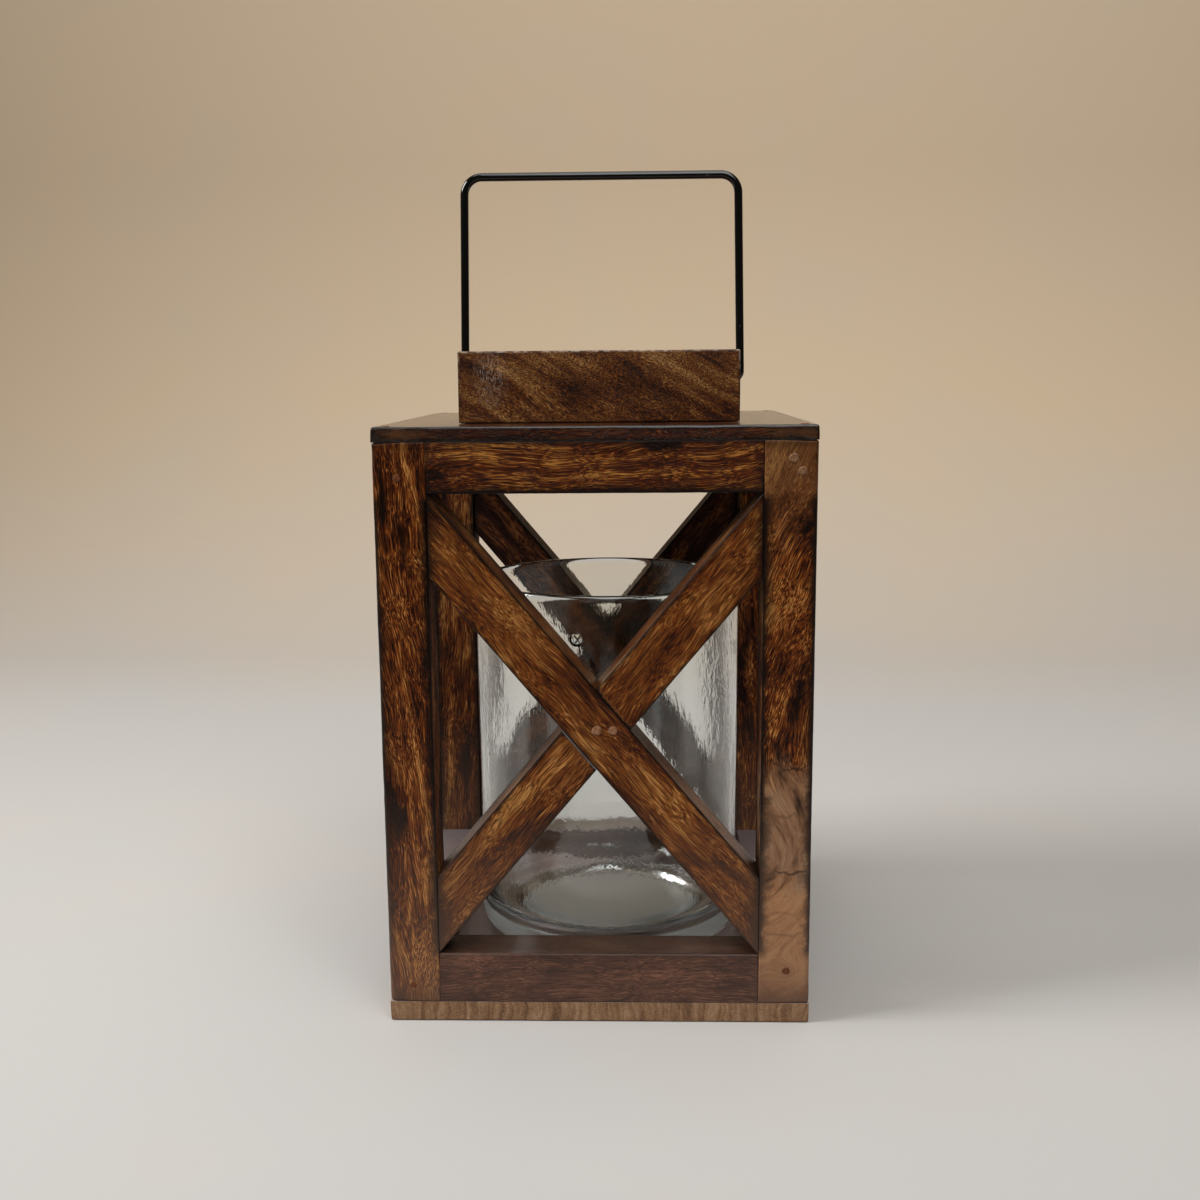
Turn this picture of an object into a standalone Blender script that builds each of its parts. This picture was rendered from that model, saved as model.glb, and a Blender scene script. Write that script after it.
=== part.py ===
"""Hanging lantern in dark-stained hardwood.

Four corner posts stand on a base board and carry a top board with a square block. Rails join the posts at
the bottom and the top of all four sides, and two half-lapped braces cross in the front and in the back
opening; the left and right openings stay clear. A wire bail swings in two holes in the block, and a loose
glass cylinder for a candle stands on the base board.

Metres, +Z up, the front faces -Y, and the origin is at the centre of the underside.
"""

import math

import bmesh
import bpy
from mathutils import Matrix, Vector

MM = 0.001

# Frame
FOOTPRINT = 150.0 * MM  # outer width and depth, over the posts
POST_LENGTH = 199.7 * MM
POST_SIDE = 18.2 * MM
RAIL_DEPTH = 17.0 * MM
LOW_RAIL_HEIGHT = 18.4 * MM
HIGH_RAIL_HEIGHT = 17.5 * MM
BASE_THICKNESS = 7.5 * MM
TOP_THICKNESS = 5.3 * MM
ARRIS = 0.8 * MM  # chamfer along the edges of the timbers
FIT = 0.3 * MM  # gap between neighbouring pieces

# Cross braces
BRACE_WIDTH = 18.3 * MM
BRACE_DEPTH = 18.0 * MM

# Block and bail
BLOCK_SIDE = 99.0 * MM
BLOCK_HEIGHT = 25.0 * MM
BLOCK_OFFSET = 1.0 * MM  # the block and its bail sit this far right of centre
PIVOT_BELOW_TOP = 10.5 * MM
WIRE_RADIUS = 1.55 * MM
BAIL_HEIGHT = 75.5 * MM  # from the pivot axis to the middle of the top bar
LEG_STANDOFF = 3.4 * MM  # from the block's side to the middle of the leg
LEG_LEAN = 1.4 * MM  # how far each leg leans in by the time it reaches the top bar
SOCKET_DEPTH = 10.0 * MM
LOW_BEND = 2.8 * MM
TOP_BEND = 6.7 * MM
WIRE_SIDES_LEVEL = 2

# Candle glass
GLASS_CLEARANCE = 5.0 * MM  # between the glass, when it is centred, and the backs of the braces
GLASS_HEIGHT = 142.7 * MM
GLASS_WALL = 3.0 * MM
GLASS_BASE = 8.0 * MM
HEEL_RADIUS = 9.0 * MM
INNER_HEEL_RADIUS = 13.0 * MM
PUNT_HEIGHT = 1.2 * MM
FOOT_RING = 4.0 * MM
GLASS_SHIFT = (2.2 * MM, 2.0 * MM)  # it stands a little off centre
GLASS_STEPS = 48

# Nails and screws
NAIL_RADIUS = 0.8 * MM
NAIL_HEAD_RADIUS = 1.2 * MM
NAIL_HEAD_HEIGHT = 1.2 * MM
NAIL_BITE = 13.0 * MM  # how far a nail goes into the second piece
NAIL_STAGGER = 3.0 * MM  # keeps the nails of two rails apart in one post
NAIL_EDGE = 4.5 * MM  # board nails, from the outer faces
CROSSING_NAIL_SPACING = 5.6 * MM
CROSSING_NAIL_SHORT = 3.0 * MM  # how much less than the brace's depth they reach
SCREW_RADIUS = 1.75 * MM
SCREW_HEAD_RADIUS = 3.4 * MM
SCREW_HEAD_HEIGHT = 2.0 * MM
SCREW_BITE = 14.0 * MM
SCREW_INSET = 17.0 * MM  # block screws, from the block's sides
SET_BELOW = 0.3 * MM  # heads lie this far under the surface
ROUND_STEPS = 8

# Levels and half widths that follow from the sizes above
HALF = FOOTPRINT / 2
TOP_UNDERSIDE = BASE_THICKNESS + POST_LENGTH
BODY_TOP = TOP_UNDERSIDE + TOP_THICKNESS
PIVOT_HEIGHT = BODY_TOP + BLOCK_HEIGHT - PIVOT_BELOW_TOP
GLASS_RADIUS = HALF - BRACE_DEPTH - GLASS_CLEARANCE

# Side n is the front turned by n quarter turns; its left corner is corner n and its right corner n + 1
SIDES = ("front", "right", "back", "left")
CORNERS = ("front_left", "front_right", "back_right", "back_left")
CORNER_SIGNS = ((-1, -1), (1, -1), (1, 1), (-1, 1))

WOOD_DARK = "4A2712"
WOOD_BROWN = "6B3A1A"
WOOD_LIGHT = "8A5226"
STEEL = "8C8880"
BLACK_ENAMEL = "0E0F11"
CLEAR_GLASS = "E9F0EC"


def linear(hex_colour):
    """An sRGB hex colour as linear RGBA."""
    channels = [int(hex_colour[i : i + 2], 16) / 255 for i in (0, 2, 4)]
    curve = [c / 12.92 if c <= 0.04045 else ((c + 0.055) / 1.055) ** 2.4 for c in channels]
    return (*curve, 1.0)


def finish(piece, hex_colour, roughness, metallic=0.0, transmission=0.0):
    """Give a piece a material of its own."""
    material = bpy.data.materials.new(piece.name)
    material.use_nodes = True
    shader = material.node_tree.nodes["Principled BSDF"]
    shader.inputs["Base Color"].default_value = linear(hex_colour)
    shader.inputs["Roughness"].default_value = roughness
    shader.inputs["Metallic"].default_value = metallic
    shader.inputs["Transmission Weight"].default_value = transmission
    piece.data.materials.append(material)


def add_object(name, data, collection, matrix):
    """Put an object with this data and place into a collection."""
    item = bpy.data.objects.new(name, data)
    bpy.data.collections[collection].objects.link(item)
    item.matrix_world = matrix
    return item


def as_cutter(item):
    """Mark an object as a cutter, which shapes others and is not built itself."""
    item.hide_render = True
    item.display_type = "WIRE"
    return item


def bar_mesh(name, size, fall=0.0):
    """A box of this size whose long edges drop by fall for each unit of X, with upright ends."""
    shear = Matrix.Identity(4)
    shear[2][0] = -fall
    shape = bmesh.new()
    bmesh.ops.create_cube(shape, size=1.0, matrix=shear @ Matrix.Diagonal((*size, 1.0)))
    mesh = bpy.data.meshes.new(name)
    shape.to_mesh(mesh)
    shape.free()
    return mesh


def timber(name, size, centre, quarter_turns=0, fall=0.0, colour=WOOD_BROWN):
    """A chamfered wooden piece, laid out as on the front side and turned about +Z to its own side."""
    turn = Matrix.Rotation(quarter_turns * math.pi / 2, 4, "Z")
    piece = add_object(name, bar_mesh(name, size, fall), "hanging_lantern", turn @ Matrix.Translation(centre))
    chamfer = piece.modifiers.new("arris", "BEVEL")
    chamfer.width = ARRIS
    chamfer.segments = 1
    finish(piece, colour, roughness=0.35)
    return piece


def cut(piece, cutter):
    """Take the cutter's shape out of the piece."""
    boolean = piece.modifiers.new(cutter.name, "BOOLEAN")
    boolean.operation = "DIFFERENCE"
    boolean.solver = "EXACT"
    boolean.object = cutter


def turned_mesh(name, profile):
    """A mesh that holds only a profile of (radius, height) points, for a Screw modifier to turn."""
    points = [(radius, 0.0, height) for radius, height in profile]
    edges = [(i, i + 1) for i in range(len(points) - 1)]
    mesh = bpy.data.meshes.new(name)
    mesh.from_pydata(points, edges, [])
    return mesh


def turned(name, profile, matrix, collection, steps):
    """A solid turned about its own Z axis; the profile runs down its outer side."""
    item = add_object(name, turned_mesh(name, profile), collection, matrix)
    screw = item.modifiers.new("turn", "SCREW")
    screw.axis = "Z"
    screw.steps = steps
    screw.render_steps = steps
    screw.use_merge_vertices = True
    screw.merge_threshold = 0.00001
    screw.use_smooth_shade = True
    return item


def arc(centre, radius, start, stop, steps):
    """Points on an arc, from the start angle to the stop angle in degrees."""
    angles = [math.radians(start + (stop - start) * i / steps) for i in range(steps + 1)]
    return [(centre[0] + radius * math.cos(a), centre[1] + radius * math.sin(a)) for a in angles]


def nail_profile(length):
    """A finishing nail: head at height 0, point at minus its length."""
    return [
        (0.0, 0.0),
        (NAIL_HEAD_RADIUS, 0.0),
        (NAIL_HEAD_RADIUS, -NAIL_HEAD_HEIGHT / 2),
        (NAIL_RADIUS, -NAIL_HEAD_HEIGHT),
        (NAIL_RADIUS, -length + 2 * NAIL_RADIUS),
        (0.0, -length),
    ]


def screw_profile(length):
    """A countersunk wood screw, without its thread."""
    return [
        (0.0, 0.0),
        (SCREW_HEAD_RADIUS, 0.0),
        (SCREW_RADIUS, -SCREW_HEAD_HEIGHT),
        (SCREW_RADIUS, -length + 2 * SCREW_RADIUS),
        (0.0, -length),
    ]


def hole_profile(radius, head_radius, head_height, length):
    """The hole for a nail or screw, FIT wider all round and open above the head."""
    return [
        (0.0, 3 * SET_BELOW),
        (head_radius + FIT, 3 * SET_BELOW),
        (head_radius + FIT, -head_height - FIT),
        (radius + FIT, -head_height - FIT),
        (radius + FIT, -length - FIT),
        (0.0, -length - FIT),
    ]


def drive(name, entry, direction, profile, hole, members, quarter_turns=0):
    """Drive a fastener from its entry point through the members, and bore the hole that it sits in."""
    turn = Matrix.Rotation(quarter_turns * math.pi / 2, 4, "Z")
    heading = Vector(direction).to_track_quat("-Z", "Y").to_matrix().to_4x4()
    head = Vector(entry) + SET_BELOW * Vector(direction)
    place = turn @ Matrix.Translation(head) @ heading
    fastener = turned(name, profile, place, "hanging_lantern", ROUND_STEPS)
    finish(fastener, STEEL, roughness=0.4, metallic=1.0)
    bore = as_cutter(turned(name + "_bore", hole, place, "cutters", ROUND_STEPS))
    for member in members:
        cut(member, bore)


def drive_nail(name, entry, direction, length, members, quarter_turns=0):
    """Drive a finishing nail."""
    hole = hole_profile(NAIL_RADIUS, NAIL_HEAD_RADIUS, NAIL_HEAD_HEIGHT, length)
    drive(name, entry, direction, nail_profile(length), hole, members, quarter_turns)


def make_boards():
    """The base board and the top board, both over the full footprint."""
    base_size = (FOOTPRINT, FOOTPRINT, BASE_THICKNESS)
    base = timber("base_board", base_size, (0, 0, BASE_THICKNESS / 2), colour=WOOD_LIGHT)
    top_size = (FOOTPRINT, FOOTPRINT, TOP_THICKNESS)
    top = timber("top_board", top_size, (0, 0, TOP_UNDERSIDE + TOP_THICKNESS / 2), colour=WOOD_DARK)
    return base, top


def make_posts(base, top):
    """The corner posts, each nailed to both boards."""
    middle = (BASE_THICKNESS + TOP_UNDERSIDE) / 2
    size = (POST_SIDE, POST_SIDE, POST_LENGTH - 2 * FIT)
    reach = HALF - POST_SIDE / 2
    nail_reach = HALF - NAIL_EDGE
    posts = []
    for corner, (x, y) in zip(CORNERS, CORNER_SIGNS):
        post = timber("post_" + corner, size, (x * reach, y * reach, middle))
        low = (x * nail_reach, y * nail_reach, 0)
        drive_nail("base_nail_" + corner, low, (0, 0, 1), BASE_THICKNESS + NAIL_BITE, (base, post))
        high = (x * nail_reach, y * nail_reach, BODY_TOP)
        drive_nail("top_nail_" + corner, high, (0, 0, -1), TOP_THICKNESS + NAIL_BITE, (top, post))
        posts.append(post)
    return posts


def make_rails(posts):
    """A low and a high rail on each side, with a nail through the post into each end."""
    levels = {
        "low": (BASE_THICKNESS + FIT, BASE_THICKNESS + LOW_RAIL_HEIGHT),
        "high": (TOP_UNDERSIDE - HIGH_RAIL_HEIGHT, TOP_UNDERSIDE - FIT),
    }
    length = FOOTPRINT - 2 * POST_SIDE - 2 * FIT
    rail_line = -HALF + RAIL_DEPTH / 2
    for turns, side in enumerate(SIDES):
        for level, (bottom, top) in levels.items():
            middle = (bottom + top) / 2
            name = f"rail_{side}_{level}"
            size = (length, RAIL_DEPTH, top - bottom)
            rail = timber(name, size, (0, rail_line, middle), turns, colour=WOOD_DARK)
            for end, sign, post in (
                ("left", -1, posts[turns]),
                ("right", 1, posts[(turns + 1) % len(posts)]),
            ):
                entry = (sign * HALF, rail_line, middle - sign * NAIL_STAGGER)
                drive_nail(
                    f"nail_{side}_{level}_{end}",
                    entry,
                    (-sign, 0, 0),
                    POST_SIDE + NAIL_BITE,
                    (post, rail),
                    turns,
                )


def brace_fall(width, height):
    """How steeply a brace of BRACE_WIDTH falls when it just fills an opening from corner to corner."""
    diagonal = math.sqrt(width**2 + height**2 - BRACE_WIDTH**2)
    return (width * height - BRACE_WIDTH * diagonal) / (width**2 - BRACE_WIDTH**2)


def make_braces():
    """Front and back crosses; in each, the falling brace lies in front of the rising one at the lap."""
    width = FOOTPRINT - 2 * POST_SIDE - 2 * FIT
    bottom = BASE_THICKNESS + LOW_RAIL_HEIGHT + FIT
    top = TOP_UNDERSIDE - HIGH_RAIL_HEIGHT - FIT
    middle = (bottom + top) / 2
    fall = brace_fall(width, top - bottom)
    end_height = top - bottom - fall * width
    line = -HALF + BRACE_DEPTH / 2
    lap_size = (2 * end_height / fall, BRACE_DEPTH, end_height + 2 * FIT * math.sqrt(1 + fall**2))
    for turns, side in ((0, "front"), (2, "back")):
        size = (width, BRACE_DEPTH, end_height)
        falling = timber(f"brace_{side}_falling", size, (0, line, middle), turns, fall, WOOD_LIGHT)
        rising = timber(f"brace_{side}_rising", size, (0, line, middle), turns, -fall, WOOD_LIGHT)
        turn = Matrix.Rotation(turns * math.pi / 2, 4, "Z")
        # Each lap cutter covers one half of the depth and sticks out of that face
        for piece, lap_fall, towards in ((falling, -fall, 1), (rising, fall, -1)):
            offset = line + towards * (BRACE_DEPTH / 2 - FIT / 2)
            place = turn @ Matrix.Translation((0, offset, middle))
            mesh = bar_mesh(piece.name + "_lap", lap_size, lap_fall)
            cut(piece, as_cutter(add_object(mesh.name, mesh, "cutters", place)))
        for count in range(2):
            entry = (count * CROSSING_NAIL_SPACING, -HALF, middle)
            length = BRACE_DEPTH - CROSSING_NAIL_SHORT
            name = f"nail_{side}_crossing_{count + 1}"
            drive_nail(name, entry, (0, 1, 0), length, (falling, rising), turns)


def make_block(top):
    """The square block on the top board, held by four screws from below, with the bail's two sockets."""
    height = BLOCK_HEIGHT - FIT
    centre = (BLOCK_OFFSET, 0, BODY_TOP + FIT + height / 2)
    block = timber("top_block", (BLOCK_SIDE, BLOCK_SIDE, height), centre, colour=WOOD_BROWN)
    reach = BLOCK_SIDE / 2 - SCREW_INSET
    length = TOP_THICKNESS + SCREW_BITE
    hole = hole_profile(SCREW_RADIUS, SCREW_HEAD_RADIUS, SCREW_HEAD_HEIGHT, length)
    for corner, (x, y) in zip(CORNERS, CORNER_SIGNS):
        entry = (BLOCK_OFFSET + x * reach, y * reach, TOP_UNDERSIDE)
        drive("block_screw_" + corner, entry, (0, 0, 1), screw_profile(length), hole, (top, block))
    for side, sign in (("left", -1), ("right", 1)):
        radius = WIRE_RADIUS + FIT
        depth = SOCKET_DEPTH + FIT
        profile = [(0, 2 * FIT), (radius, 2 * FIT), (radius, -depth), (0, -depth)]
        mouth = Matrix.Translation((BLOCK_OFFSET + sign * BLOCK_SIDE / 2, 0, PIVOT_HEIGHT))
        place = mouth @ Matrix.Rotation(sign * math.pi / 2, 4, "Y")
        cut(block, as_cutter(turned("bail_socket_" + side, profile, place, "cutters", 2 * ROUND_STEPS)))


def make_bail():
    """The wire bail: pivot ends turned into the block, two legs that lean in slightly, and a top bar."""
    side = BLOCK_SIDE / 2
    leg_low = side + LEG_STANDOFF
    leg_high = leg_low - LEG_LEAN
    right = [(side - SOCKET_DEPTH, 0.0)]
    right += arc((leg_low - LOW_BEND, LOW_BEND), LOW_BEND, -90, 0, 4)
    right += arc((leg_high - TOP_BEND, BAIL_HEIGHT - TOP_BEND), TOP_BEND, 0, 90, 6)
    points = right + [(-x, z) for x, z in reversed(right)]
    curve = bpy.data.curves.new("bail_handle", "CURVE")
    curve.dimensions = "3D"
    curve.bevel_depth = WIRE_RADIUS
    curve.bevel_resolution = WIRE_SIDES_LEVEL
    curve.use_fill_caps = True
    spline = curve.splines.new("POLY")
    spline.points.add(len(points) - 1)
    for knot, (x, z) in zip(spline.points, points):
        knot.co = (x, 0.0, z, 1.0)
    place = Matrix.Translation((BLOCK_OFFSET, 0, PIVOT_HEIGHT))
    bail = add_object("bail_handle", curve, "hanging_lantern", place)
    finish(bail, BLACK_ENAMEL, roughness=0.15)


def make_glass():
    """The candle glass: thick base with rounded heels, straight wall and a fire-polished rim."""
    inner = GLASS_RADIUS - GLASS_WALL
    lip = GLASS_WALL / 2
    foot = GLASS_RADIUS - HEEL_RADIUS
    heel = min(INNER_HEEL_RADIUS, inner / 2)
    profile = [(0.0, GLASS_BASE)]
    profile += arc((inner - heel, GLASS_BASE + heel), heel, -90, 0, 5)
    profile += arc((GLASS_RADIUS - lip, GLASS_HEIGHT - lip), lip, 180, 0, 4)
    profile += arc((foot, HEEL_RADIUS), HEEL_RADIUS, 0, -90, 5)
    profile += [(foot - FOOT_RING, 0.0), (foot - 2 * FOOT_RING, PUNT_HEIGHT), (0.0, PUNT_HEIGHT)]
    place = Matrix.Translation((*GLASS_SHIFT, BASE_THICKNESS + FIT))
    glass = turned("candle_glass", profile, place, "hanging_lantern", GLASS_STEPS)
    finish(glass, CLEAR_GLASS, roughness=0.02, transmission=1.0)


def main():
    for item in list(bpy.data.objects):
        bpy.data.objects.remove(item, do_unlink=True)
    for name in ("hanging_lantern", "cutters"):
        collection = bpy.data.collections.new(name)
        bpy.context.scene.collection.children.link(collection)
    base, top = make_boards()
    posts = make_posts(base, top)
    make_rails(posts)
    make_braces()
    make_block(top)
    make_bail()
    make_glass()


main()
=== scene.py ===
# %% [markdown]
# # A hanging lantern in stained hardwood
#
# This lantern is a frame of square wooden sticks: four posts, eight rails and two pairs of crossed braces
# between a base board and a top board. A square block carries a bail of black wire, and a glass cylinder
# for a candle stands loose inside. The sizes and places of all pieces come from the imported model, so this
# script only makes surfaces: worn edges, grain, lacquer, enamel and hand-made glass.

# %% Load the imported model
import math
from functools import partial

import bmesh
import bpy
import numpy as np
from mathutils import Matrix, Vector


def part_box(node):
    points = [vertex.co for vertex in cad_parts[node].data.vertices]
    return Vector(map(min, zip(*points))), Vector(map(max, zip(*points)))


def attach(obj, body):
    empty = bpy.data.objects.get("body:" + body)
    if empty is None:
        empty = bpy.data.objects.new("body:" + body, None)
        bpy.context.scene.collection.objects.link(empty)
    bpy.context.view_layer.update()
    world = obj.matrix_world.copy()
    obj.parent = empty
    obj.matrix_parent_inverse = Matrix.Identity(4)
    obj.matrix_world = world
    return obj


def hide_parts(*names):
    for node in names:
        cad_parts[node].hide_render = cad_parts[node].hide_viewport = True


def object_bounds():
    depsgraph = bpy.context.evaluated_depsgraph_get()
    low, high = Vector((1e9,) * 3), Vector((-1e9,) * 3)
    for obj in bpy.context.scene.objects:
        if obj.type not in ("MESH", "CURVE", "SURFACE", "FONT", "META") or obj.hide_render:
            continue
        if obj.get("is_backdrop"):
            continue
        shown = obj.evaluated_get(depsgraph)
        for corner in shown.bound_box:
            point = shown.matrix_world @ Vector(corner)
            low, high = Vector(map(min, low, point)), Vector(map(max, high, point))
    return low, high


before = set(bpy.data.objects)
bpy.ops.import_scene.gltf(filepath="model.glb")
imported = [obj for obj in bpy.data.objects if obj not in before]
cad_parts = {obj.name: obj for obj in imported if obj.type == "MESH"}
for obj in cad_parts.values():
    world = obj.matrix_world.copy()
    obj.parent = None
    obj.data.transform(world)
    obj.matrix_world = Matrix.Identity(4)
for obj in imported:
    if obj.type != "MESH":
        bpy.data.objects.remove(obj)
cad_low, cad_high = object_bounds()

MM = 0.001
print("nodes:", len(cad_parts), "box in mm:", [round(c / MM, 1) for c in (*cad_low, *cad_high)])

# %% [markdown]
# ## Small helpers
#
# Every node tree here, for shapes and for finishes, is built by one function that adds a node, sets it up
# and fills or links its inputs. Colours are written as sRGB hex values, as a paint chart gives them, and
# turned to the linear values that a renderer works with.

# %% Helpers for node trees and colours
MATH = "ShaderNodeMath"
VECTOR = "ShaderNodeVectorMath"
NOISE = "ShaderNodeTexNoise"
RANGE = "ShaderNodeMapRange"
MIX = "ShaderNodeMix"
JOIN = "ShaderNodeCombineXYZ"
SPLIT = "ShaderNodeSeparateXYZ"
TIMES = {"operation": "MULTIPLY"}
MINUS = {"operation": "SUBTRACT"}


def node(tree, kind, *values, named=(), **settings):
    """Add a node with its settings. Values fill its live inputs in order, named ones by name.

    A value may be a node, whose first live output is linked, or one output, or None to leave an input."""
    made = tree.nodes.new(kind)
    for setting, value in settings.items():
        setattr(made, setting, value)
    live = [socket for socket in made.inputs if socket.enabled]
    pairs = [*zip(live, values), *((made.inputs[name], value) for name, value in dict(named).items())]
    for socket, value in pairs:
        if isinstance(value, bpy.types.Node):
            value = next(output for output in value.outputs if output.enabled)
        if isinstance(value, bpy.types.NodeSocket):
            tree.links.new(value, socket)
        elif value is not None:
            socket.default_value = value
    return made


def linear(hex_colour):
    """An sRGB hex colour as linear RGBA."""
    channels = [int(hex_colour[i : i + 2], 16) / 255 for i in (0, 2, 4)]
    curve = [c / 12.92 if c <= 0.04045 else ((c + 0.055) / 1.055) ** 2.4 for c in channels]
    return (*curve, 1.0)


def new_material(name):
    """An empty material, as (function that adds a node to it, its Principled shader, the material)."""
    material = bpy.data.materials.new(name)
    material.use_nodes = True
    tree = material.node_tree
    return partial(node, tree), tree.nodes["Principled BSDF"], material


def feed(shader, **sources):
    """Link or set inputs of a shader: Base_Color=node, Roughness=0.5 and so on."""
    for name, source in sources.items():
        socket = shader.inputs[name.replace("_", " ")]
        if isinstance(source, bpy.types.Node):
            output = next(output for output in source.outputs if output.enabled)
            shader.id_data.links.new(output, socket)
        else:
            socket.default_value = source


# %% [markdown]
# ## Camera
#
# The lantern is seen from a little above, close to, and from slightly right of its middle. The near view
# makes the uprights converge downwards. A normal lens with no shift and no blur gives that.

# %% Camera
CAMERA_PLACE = (15.08 * MM, -526.36 * MM, 230.89 * MM)
CAMERA_ANGLES = (80.2865, 0.4569, 1.6304)
CAMERA_LENS = 40.457

camera = bpy.data.objects.new("camera", bpy.data.cameras.new("camera"))
bpy.context.scene.collection.objects.link(camera)
camera.location = CAMERA_PLACE
camera.rotation_euler = [math.radians(angle) for angle in CAMERA_ANGLES]
camera.data.lens = CAMERA_LENS
camera.data.sensor_width = 36.0
camera.data.clip_start = 0.01
bpy.context.scene.camera = camera
print("camera", round((camera.location - (cad_low + cad_high) / 2).length, 3), "m from the lantern")

# %% [markdown]
# ## Paper sweep
#
# A studio sweep is one sheet of paper that runs from the table up the wall in a wide bend, so there is no
# corner behind the object. It is a profile drawn once and extruded sideways. The paper is pale grey on the
# table, and warmer where it goes up the wall, with the faint clouds of paper that has been rolled up.

# %% Paper sweep
SWEEP_FRONT = -0.45
SWEEP_BEND_START = 0.55
SWEEP_BEND_RADIUS = 0.45
SWEEP_TOP = 1.5
SWEEP_WIDTH = 4.4
BEND_STEPS = 24
TABLE_PAPER = "AFADAA"
WALL_PAPER = "C4B095"
WARM_FROM = 0.36  # how far along and up the sheet, in metres, the warm tint starts
WARM_TO = 1.14


def make_sweep():
    """The paper sweep as one smooth sheet."""
    bend = [math.radians(-90 + 90 * i / BEND_STEPS) for i in range(BEND_STEPS + 1)]
    radius = SWEEP_BEND_RADIUS
    profile = [(SWEEP_FRONT, 0.0)]
    profile += [(SWEEP_BEND_START + radius * math.cos(a), radius * (1 + math.sin(a))) for a in bend]
    profile.append((SWEEP_BEND_START + radius, SWEEP_TOP))
    sheet = bmesh.new()
    rows = [[sheet.verts.new((x, y, z)) for x in (-SWEEP_WIDTH / 2, SWEEP_WIDTH / 2)] for y, z in profile]
    for near, far in zip(rows, rows[1:]):
        sheet.faces.new((near[0], near[1], far[1], far[0])).smooth = True
    mesh = bpy.data.meshes.new("paper_sweep")
    sheet.to_mesh(mesh)
    sheet.free()
    sweep = bpy.data.objects.new("paper_sweep", mesh)
    bpy.context.scene.collection.objects.link(sweep)
    sweep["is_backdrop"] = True

    add, shader, material = new_material("matt backdrop paper")
    place = add("ShaderNodeTexCoord").outputs["Object"]
    along = add(SPLIT, place)
    rise = add(RANGE, add(MATH, along.outputs["Y"], along.outputs["Z"]), WARM_FROM, WARM_TO)
    clouds = add(NOISE, place, 5.0, 4.0, 0.55)
    rise = add(MATH, rise, add(MATH, add(MATH, clouds, 0.5, **MINUS), 0.5, **TIMES))
    tint = add(MIX, rise, linear(TABLE_PAPER), linear(WALL_PAPER), data_type="RGBA")
    feed(shader, Base_Color=tint, Roughness=0.9)
    mesh.materials.append(material)


make_sweep()

# %% [markdown]
# ## Light
#
# A high, wide, soft lamp in front lights the faces, and because it is high it leaves the inside of the
# lantern dark. A second one stands to the left and a little in front, as a window would, so the shadow falls
# softly to the right. Its spread is narrow, so it spares the wall, and a third lamp over the lantern washes
# the wall instead. The rest of the room is dim and warm, which keeps the lacquer's reflections dark.
# %% Light
ROOM_COLOUR = "FFE6C8"
ROOM_STRENGTH = 0.07


def soft_lamp(name, place, aim, size, power, spread=180.0):
    """A square area lamp at a place, turned to its aim, its light kept within the spread in degrees."""
    lamp = bpy.data.lights.new(name, "AREA")
    lamp.size = size
    lamp.spread = math.radians(spread)
    lamp.energy = power
    holder = bpy.data.objects.new(name, lamp)
    bpy.context.scene.collection.objects.link(holder)
    holder.location = place
    holder.rotation_euler = (Vector(aim) - Vector(place)).to_track_quat("-Z", "Y").to_euler()


soft_lamp("window", (-1.45, -0.3, 1.1), (0.1, -0.05, 0.0), size=0.7, power=6.6, spread=80.0)
soft_lamp("ceiling", (0.35, -1.2, 1.7), (0.0, 0.0, 0.1), size=1.3, power=24.0)
soft_lamp("wall wash", (0.0, 0.1, 1.6), (-0.1, 0.95, 0.35), size=1.3, power=12.5)
world = bpy.data.worlds.new("room")
world.use_nodes = True
world.node_tree.nodes["Background"].inputs["Color"].default_value = linear(ROOM_COLOUR)
world.node_tree.nodes["Background"].inputs["Strength"].default_value = ROOM_STRENGTH
bpy.context.scene.world = world
bpy.context.scene.view_settings.view_transform = "Standard"

# %% [markdown]
# ## Timbers with worn edges
#
# Every wooden piece is a bar with its edges rubbed round by sanding and handling: more at the outer
# corners, hardly at all where two pieces meet. One Geometry Nodes tree makes them all from a cube: it
# spreads the cube's grid so that rows crowd near the edges, pulls each point onto an elliptical edge
# rounding whose radius wanders with noise, and adds the faint waves that hand sanding leaves.
#
# The tree also stores what the finish needs: where in its log each point was sawn (grain), how far it
# lies from the nearest open edge (edge), and how far from the end of the bar (butt).

# %% The timber tree
EDGE_ROWS = 4
ZONE = 1.3  # the crowded rows reach this many rounding radii from the edge
TIMBER_INPUTS = {
    "Size": "NodeSocketVector",
    "Fall": "NodeSocketFloat",
    "Cell": "NodeSocketFloat",
    "Arris": "NodeSocketFloat",
    "End Arris": "NodeSocketFloat",
    "Worn Arris": "NodeSocketFloat",
    "Worn End": "NodeSocketFloat",
    "Worn Corner": "NodeSocketVector",
    "Seam Relief": "NodeSocketFloat",
    "Unevenness": "NodeSocketFloat",
    "Log Turn": "NodeSocketVector",
    "Log Place": "NodeSocketVector",
    "Seed": "NodeSocketFloat",
    "Material": "NodeSocketMaterial",
}


def new_tree(name, inputs):
    """An empty Geometry Nodes tree, as (function that adds a node, its input sockets, the tree)."""
    tree = bpy.data.node_groups.new(name, "GeometryNodeTree")
    for title, kind in inputs.items():
        tree.interface.new_socket(title, in_out="INPUT", socket_type=kind)
    tree.interface.new_socket("Geometry", in_out="OUTPUT", socket_type="NodeSocketGeometry")
    return partial(node, tree), node(tree, "NodeGroupInput").outputs, tree


def finish_tree(add, shape, material):
    """End a tree: smooth shading, instances made real, its material set."""
    smooth = add("GeometryNodeSetShadeSmooth", named={"Geometry": shape})
    real = add("GeometryNodeRealizeInstances", named={"Geometry": smooth})
    add("NodeGroupOutput", add("GeometryNodeSetMaterial", named={"Geometry": real, "Material": material}))


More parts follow.
